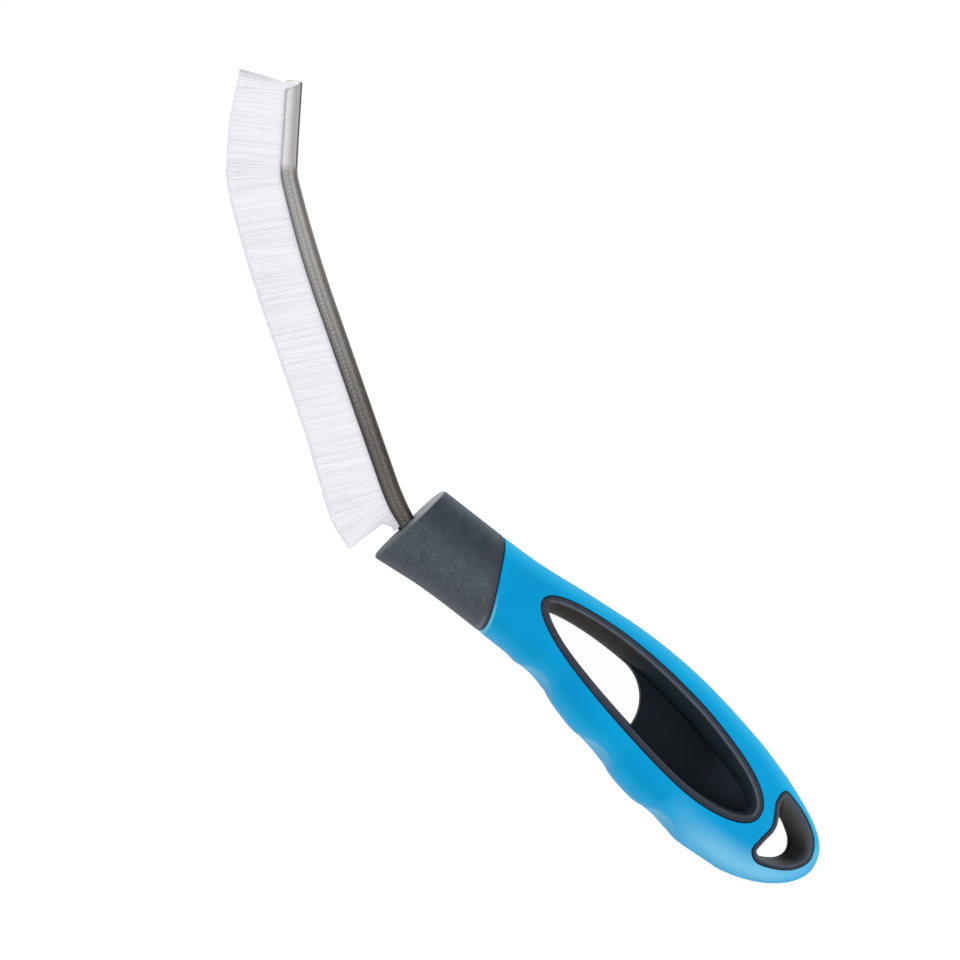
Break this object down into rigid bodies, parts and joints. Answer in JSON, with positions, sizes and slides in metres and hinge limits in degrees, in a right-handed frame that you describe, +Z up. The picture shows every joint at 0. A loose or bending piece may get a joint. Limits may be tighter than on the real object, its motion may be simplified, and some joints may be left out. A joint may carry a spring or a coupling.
{
  "type": "detailing brush",
  "caption": "Hand brush with a bent steel strip of stiff filaments held in a collar, and a flat moulded grip with finger grooves, a finger opening and a hang hole.",
  "frame": {"origin": "under the middle of the whole brush's box, at the height that the lying handle rests on", "axes": "+X along the handle towards its tail, +Y across the handle away from the filaments, +Z up through the thickness"},
  "size_m": [0.265, 0.1054, 0.024],
  "materials": {
    "grip_blue": "satin moulded plastic",
    "collar_charcoal": "fine spark-textured moulding",
    "liner_grey": "smooth soft moulding",
    "channel_steel": "rolled, crimped and slightly dulled",
    "wire_steel": "drawn wire",
    "filament_white": "fine drawn filament"
  },
  "bodies": {
    "root": {"grip_body": "grip_blue", "collar": "collar_charcoal", "finger_opening_liner": "liner_grey", "hang_hole_liner": "liner_grey", "strip_channel": "channel_steel", "retaining_wire": "wire_steel", "filaments_tip": "filament_white", "filaments_bend": "filament_white", "filaments_upper": "filament_white", "filaments_middle": "filament_white", "filaments_lower": "filament_white", "filaments_heel": "filament_white"}
  },
  "joints": []
}
